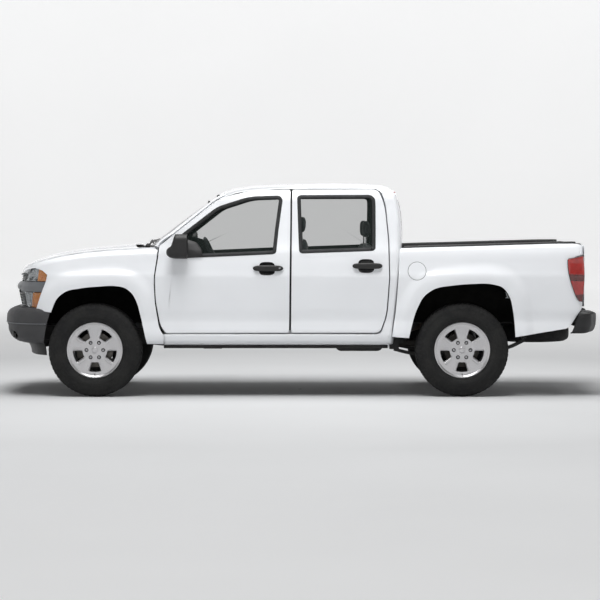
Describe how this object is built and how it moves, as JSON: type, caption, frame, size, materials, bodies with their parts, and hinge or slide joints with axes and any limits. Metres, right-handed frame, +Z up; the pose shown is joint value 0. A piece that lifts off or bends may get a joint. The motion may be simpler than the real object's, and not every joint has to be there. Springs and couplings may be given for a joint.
{
  "type": "crew cab pickup truck",
  "caption": "Crew cab pickup truck with a short cargo bed, whose wheels roll and steer and whose doors, hood and tailgate open.",
  "frame": {"origin": "on the ground at the middle of the truck's length and width", "axes": "+X towards the rear, +Y towards the truck's right side, +Z up"},
  "size_m": [5.0734, 2.018, 1.805],
  "materials": {
    "body_paint": "gloss white enamel",
    "trim_plastic": "grained moulded plastic",
    "chassis_black": "satin black paint",
    "liner_black": "matt felted liner",
    "cast_metal": "as cast",
    "exhaust_steel": "dull steel",
    "interior": "grey cloth",
    "dash_plastic": "soft-touch plastic",
    "window_glass": "clear",
    "head_lens": "clear lens",
    "tail_lens": "red lens",
    "tyre_rubber": "matt black",
    "wheel_alloy": "silver lacquer"
  },
  "bodies": {
    "chassis": {"cab_shell": "body_paint", "roof_panel": "body_paint", "front_fenders": "body_paint", "bed_sides": "body_paint", "bed_floor": "body_paint", "grille": "trim_plastic", "front_bumper": "trim_plastic", "rear_bumper": "trim_plastic", "cowl_panel": "trim_plastic", "frame_rails": "chassis_black", "crossmembers": "chassis_black", "rear_axle": "chassis_black", "suspension": "chassis_black", "wheel_liners": "liner_black", "fuel_tank": "liner_black", "engine": "cast_metal", "drive_shaft": "cast_metal", "exhaust": "exhaust_steel", "seats": "interior", "cab_floor": "interior", "dashboard": "dash_plastic", "fixed_glass": "window_glass", "headlamps": "head_lens", "tail_lamps": "tail_lens", "spare_wheel": "tyre_rubber"},
    "hood": {"hood": "body_paint"},
    "tailgate": {"tailgate": "body_paint"},
    "steering_wheel": {"steering_wheel": "dash_plastic"},
    "front_door_left": {"front_door_left": "body_paint", "front_glass_left": "window_glass", "mirror_left": "trim_plastic"},
    "rear_door_left": {"rear_door_left": "body_paint", "rear_glass_left": "window_glass"},
    "knuckle_left": {"knuckle_left": "cast_metal"},
    "wheel_front_left": {"tyre_front_left": "tyre_rubber", "rim_front_left": "wheel_alloy"},
    "wheel_rear_left": {"tyre_rear_left": "tyre_rubber", "rim_rear_left": "wheel_alloy"},
    "front_door_right": {"front_door_right": "body_paint", "front_glass_right": "window_glass", "mirror_right": "trim_plastic"},
    "rear_door_right": {"rear_door_right": "body_paint", "rear_glass_right": "window_glass"},
    "knuckle_right": {"knuckle_right": "cast_metal"},
    "wheel_front_right": {"tyre_front_right": "tyre_rubber", "rim_front_right": "wheel_alloy"},
    "wheel_rear_right": {"tyre_rear_right": "tyre_rubber", "rim_rear_right": "wheel_alloy"}
  },
  "joints": [
    {"name": "front_door_left_hinge", "type": "hinge", "parent": "chassis", "child": "front_door_left", "pos_m": [-1.2, -0.846, 1], "axis": [0, 0, -1], "range_deg": [0, 65]},
    {"name": "rear_door_left_hinge", "type": "hinge", "parent": "chassis", "child": "rear_door_left", "pos_m": [-0.061, -0.846, 1], "axis": [0, 0, -1], "range_deg": [0, 65]},
    {"name": "steer_left", "type": "hinge", "parent": "chassis", "child": "knuckle_left", "pos_m": [-1.73, -0.63, 0.395], "axis": [0, 0, 1], "range_deg": [-32, 32]},
    {"name": "spin_front_left", "type": "hinge", "parent": "knuckle_left", "child": "wheel_front_left", "pos_m": [-1.73, -0.73, 0.395], "axis": [0, 1, 0], "continuous": true},
    {"name": "spin_rear_left", "type": "hinge", "parent": "chassis", "child": "wheel_rear_left", "pos_m": [1.367, -0.73, 0.395], "axis": [0, 1, 0], "continuous": true},
    {"name": "front_door_right_hinge", "type": "hinge", "parent": "chassis", "child": "front_door_right", "pos_m": [-1.2, 0.846, 1], "axis": [0, 0, 1], "range_deg": [0, 65]},
    {"name": "rear_door_right_hinge", "type": "hinge", "parent": "chassis", "child": "rear_door_right", "pos_m": [-0.061, 0.846, 1], "axis": [0, 0, 1], "range_deg": [0, 65]},
    {"name": "steer_right", "type": "hinge", "parent": "chassis", "child": "knuckle_right", "pos_m": [-1.73, 0.63, 0.395], "axis": [0, 0, 1], "range_deg": [-32, 32]},
    {"name": "spin_front_right", "type": "hinge", "parent": "knuckle_right", "child": "wheel_front_right", "pos_m": [-1.73, 0.73, 0.395], "axis": [0, 1, 0], "continuous": true},
    {"name": "spin_rear_right", "type": "hinge", "parent": "chassis", "child": "wheel_rear_right", "pos_m": [1.367, 0.73, 0.395], "axis": [0, 1, 0], "continuous": true},
    {"name": "hood_hinge", "type": "hinge", "parent": "chassis", "child": "hood", "pos_m": [-1.27, 0, 1.225], "axis": [0, 1, 0], "range_deg": [0, 50]},
    {"name": "tailgate_hinge", "type": "hinge", "parent": "chassis", "child": "tailgate", "pos_m": [2.37, 0, 0.775], "axis": [0, 1, 0], "range_deg": [0, 90]},
    {"name": "steering_column", "type": "hinge", "parent": "chassis", "child": "steering_wheel", "pos_m": [-0.745, -0.37, 1.171], "axis": [0.9063, 0, 0.4226], "range_deg": [-512, 512]}
  ],
  "couplings": [
    {"joint": "steer_left", "follows": "steering_column", "ratio": 0.0625},
    {"joint": "steer_right", "follows": "steering_column", "ratio": 0.0625}
  ]
}
